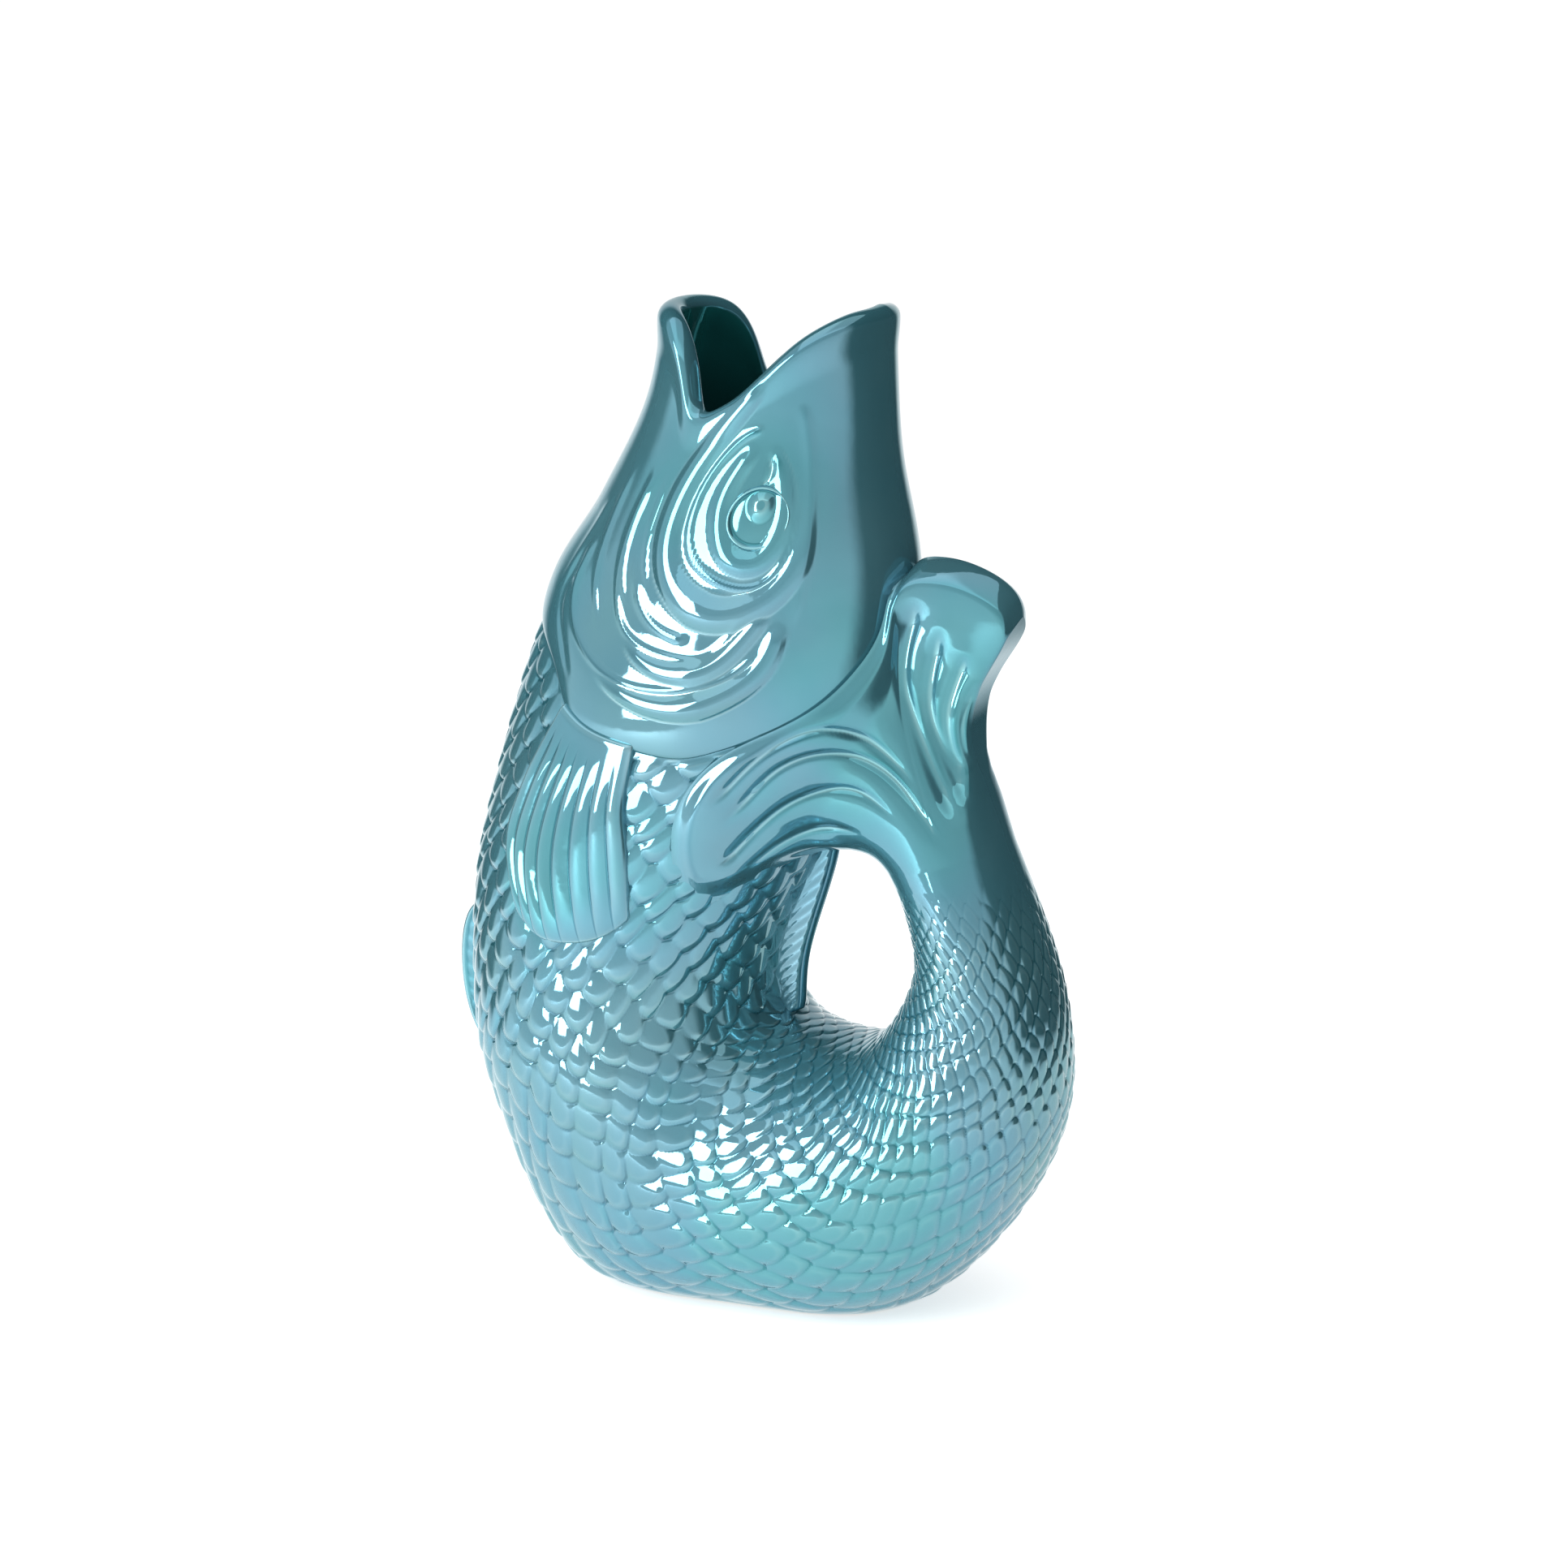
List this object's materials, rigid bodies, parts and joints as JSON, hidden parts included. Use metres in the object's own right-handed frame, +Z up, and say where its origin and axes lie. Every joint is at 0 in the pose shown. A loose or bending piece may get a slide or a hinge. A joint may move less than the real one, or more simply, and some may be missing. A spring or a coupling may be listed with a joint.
{
  "type": "fish-shaped carafe",
  "caption": "Glazed stoneware carafe in the form of a standing fish: the open mouth pours, and the tail curls round a finger hole and returns to the body as the handle.",
  "frame": {"origin": "on the table, under the middle of the carafe's box", "axes": "+Z up, +X from the fish's belly to the handle, the fish's left flank towards -Y"},
  "size_m": [0.175, 0.0978, 0.2634],
  "materials": {
    "glaze": "glossy turquoise lustre glaze on stoneware"
  },
  "bodies": {
    "root": {"head_casting": "glaze", "body_casting": "glaze", "tail_casting": "glaze", "tail_fin": "glaze", "dorsal_fin": "glaze", "belly_fin": "glaze", "breast_fin_left": "glaze", "breast_fin_right": "glaze", "eye_left": "glaze", "eye_right": "glaze"}
  },
  "joints": []
}
